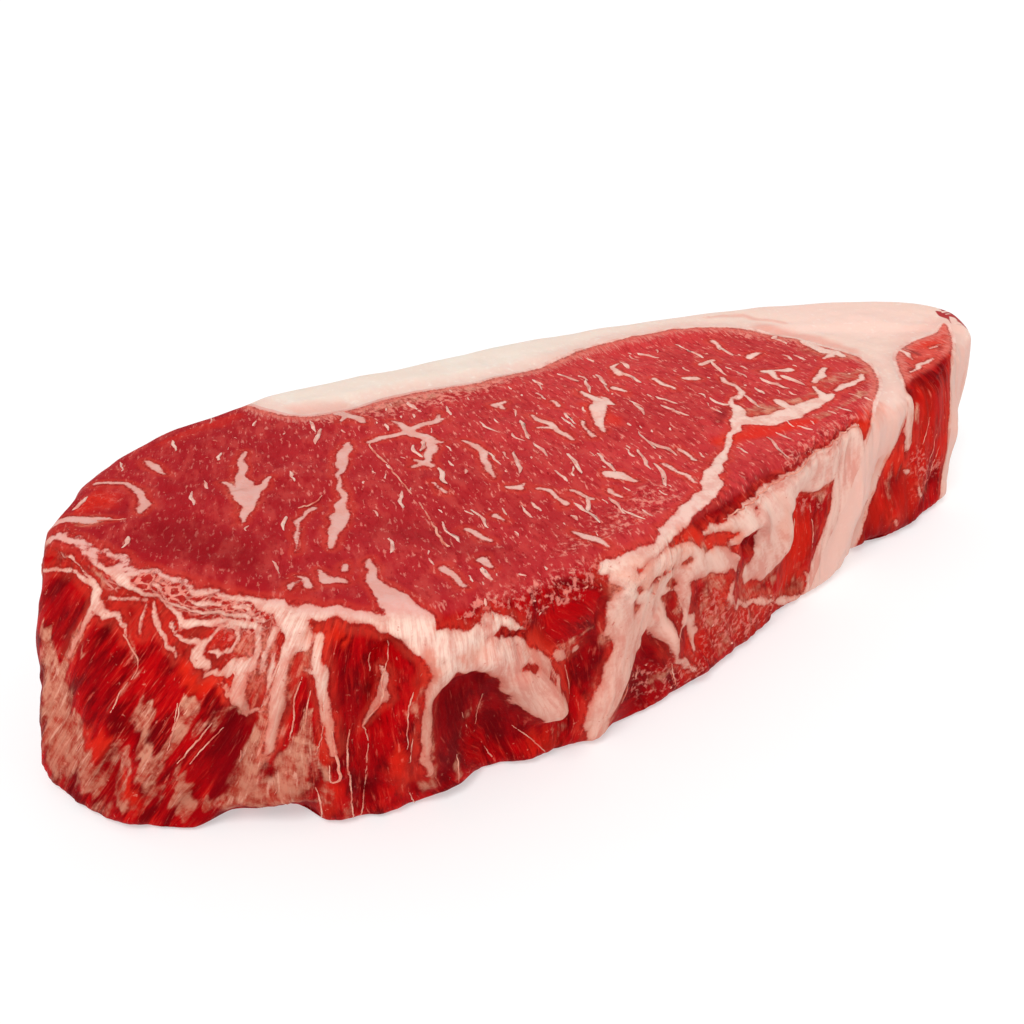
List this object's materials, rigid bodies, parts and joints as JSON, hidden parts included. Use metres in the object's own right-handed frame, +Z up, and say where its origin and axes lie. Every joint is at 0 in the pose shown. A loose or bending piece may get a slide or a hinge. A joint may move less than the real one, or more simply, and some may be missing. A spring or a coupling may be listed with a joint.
{
  "type": "raw sirloin steak",
  "caption": "Thick-cut raw boneless sirloin steak lying on its lower cut face: marbled eye of lean, a fat cap round the back and tail, and a strip of darker lean in the tail.",
  "frame": {"origin": "centre of the bounding box's underside, where the steak lies on the board", "axes": "+X from the chine end to the tail end, +Y towards the fat-capped side, +Z up through the thickness"},
  "size_m": [0.2156, 0.0932, 0.0439],
  "materials": {
    "lean": "moist crimson lean, finely marbled, soft sheen on the cut face and wet on the side",
    "fat": "firm cream fat with a pink cast next to the lean, satin",
    "tail_lean": "wet, darker red lean"
  },
  "bodies": {
    "root": {"lean": "lean", "fat_cap": "fat", "tail_lean": "tail_lean"}
  },
  "joints": []
}
